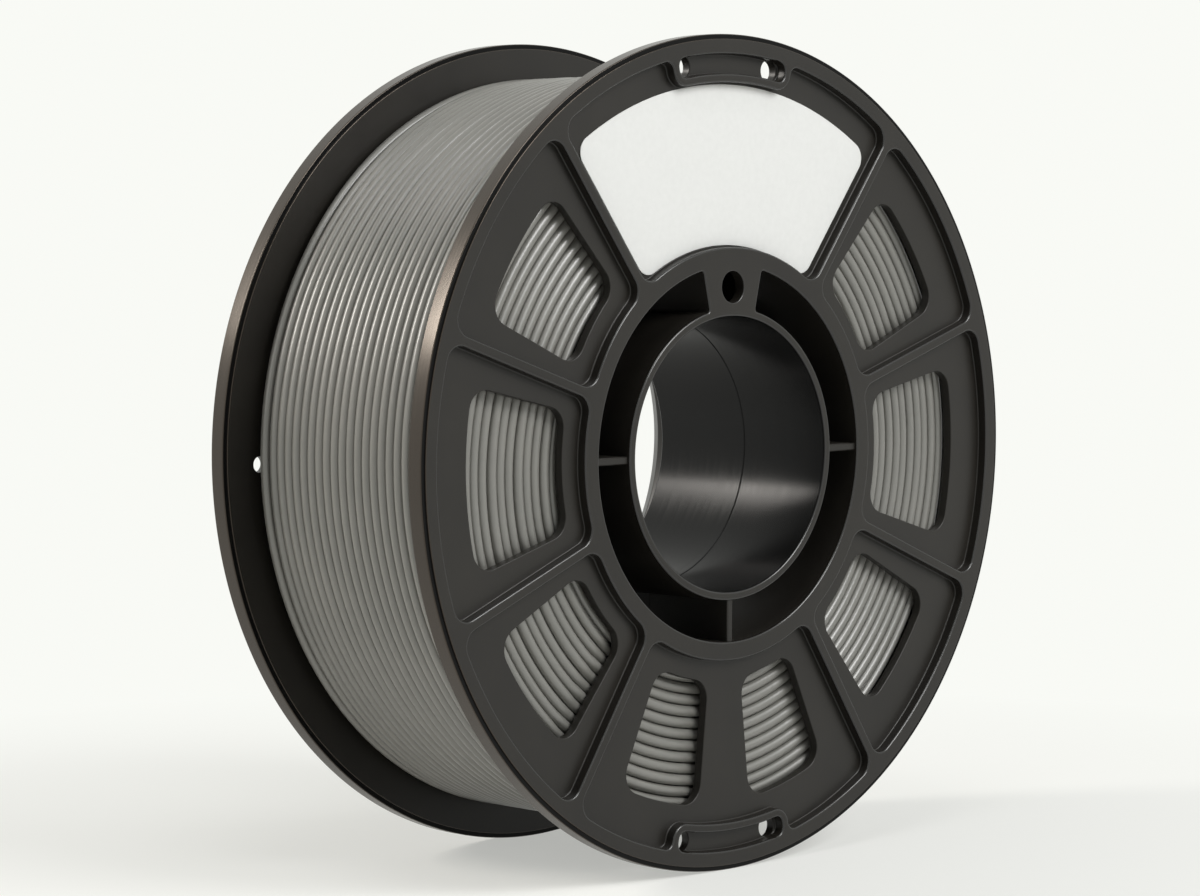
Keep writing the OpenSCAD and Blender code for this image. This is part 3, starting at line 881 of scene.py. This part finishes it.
def add_world():
    """A weak ambient light, with the pale backdrop where it is seen or reflected."""
    world = bpy.data.worlds.new("studio")
    bpy.context.scene.world = world
    world.use_nodes = True
    tree = world.node_tree
    soft_light = tree.nodes["Background"]
    soft_light.inputs["Color"].default_value = (*NEUTRAL, 1.0)
    soft_light.inputs["Strength"].default_value = AMBIENT_STRENGTH
    backdrop = tree.nodes.new("ShaderNodeBackground")
    backdrop.inputs["Color"].default_value = BACKDROP
    backdrop.inputs["Strength"].default_value = 1.0
    base, top = soft_light.outputs["Background"], backdrop.outputs["Background"]
    mix_shaders(tree, seen_directly(tree), base, top, "World Output")


def add_floor(level):
    """A pale disc that keeps the shadow near the spool and passes into the white backdrop."""
    mesh = bpy.data.meshes.new("studio_floor")
    around = polar(1.0, np.arange(FLOOR_SIDES) * 360.0 / FLOOR_SIDES)
    corners = [(FLOOR_REACH * x, FLOOR_REACH * y, level) for x, y in around]
    mesh.from_pydata(corners, [], [tuple(range(FLOOR_SIDES))])
    floor = bpy.data.objects.new("studio_floor", mesh)
    bpy.context.scene.collection.objects.link(floor)

    material, tree, shader = new_material("studio_floor_white")
    shader.inputs["Base Color"].default_value = FLOOR_COLOUR
    shader.inputs["Roughness"].default_value = FLOOR_ROUGHNESS
    glow = tree.nodes.new("ShaderNodeEmission")
    glow.inputs["Color"].default_value = BACKDROP
    place = tree.nodes.new("ShaderNodeTexCoord").outputs["Object"]
    length = tree.nodes.new("ShaderNodeVectorMath")
    length.operation = "LENGTH"
    tree.links.new(place, length.inputs[0])
    far = spread(tree, length.outputs["Value"], *FLOOR_FADE)
    share = math_node(tree, "MULTIPLY", far, seen_directly(tree))
    mix_shaders(tree, share, shader.outputs["BSDF"], glow.outputs["Emission"], "Material Output")
    mesh.materials.append(material)


# ---------------------------------------------------------------- putting it together

# Margins in millimetres at the borders of the bore, of a rim's step and of a rounded edge, by
# which a face's middle is told to be on one or the other side
BORE_MARGIN, STEP_MARGIN, EDGE_MARGIN = 0.1, 0.01, 0.001


def finish_piece(thing, material, cad_node):
    """Gives a piece its material and body, and hides the CAD node that it stands for."""
    thing.data.materials.clear()
    thing.data.materials.append(material)
    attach(thing, "root")
    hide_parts(cad_node)


def dress_moulding(thing, finishes_and_shades):
    """Gives the rounded edges, the rim, the steps beside it and the bore their own finishes. Those of
    the steps and the bore are darker, as painted shade.
    """
    for finish in finishes_and_shades:
        thing.data.materials.append(finish)
    for face in thing.data.polygons:
        radius = math.hypot(face.center.x, face.center.z) / MM
        below_face = FRONT_W - abs(face.center.y) / MM
        # The bore's faces get a darker finish, as painted shade
        if radius < BORE_R + BORE_MARGIN:
            face.material_index = BORE
        elif len(face.vertices) != 4:
            continue
        elif radius > FLANGE_R - RIM_STEP_W - STEP_ROUND:
            # The steps' faces get a darker finish, as painted shade
            on_painted_shade_step = FLANGE_R - RIM_STEP_W + STEP_MARGIN < radius < FLANGE_R - RIM_ROUND / 2
            face.material_index = STEP if on_painted_shade_step else RIM
        elif EDGE_MARGIN < below_face < EDGE_ROUND:
            face.material_index = EDGE


def main():
    """Builds every piece with its looks, and then the studio round them."""
    black, grey, white = moulded_black(), grey_strand(), white_film()
    finishes_and_shades = [turned_black(*finish) for finish in FINISHES_AND_PAINTED_SHADES]

    for things, cad_node in ((build_front(), "front_half"), (build_rear(), "rear_half")):
        for thing in things:
            settle_normals(thing)
            finish_piece(thing, black, cad_node)
        dress_moulding(things[0], finishes_and_shades)

    finish_piece(build_outer_layer(), grey, "filament_outer_layer")
    inner = [
        build_side_turns("front_side_turns", front_place, FRONT_SIDE_SEED),
        build_side_turns("rear_side_turns", rear_place, REAR_SIDE_SEED),
        build_core(),
        build_anchored_end()]
    for thing in inner:
        finish_piece(thing, grey, "filament_core")

    label = build_label()
    settle_normals(label)
    finish_piece(label, white, "label")

    add_camera()
    add_world()
    for lamp in LAMPS:
        add_area_light(*lamp)
    add_floor(float(cad_box[0][2]))
    bpy.context.scene.view_settings.view_transform = "Standard"


main()
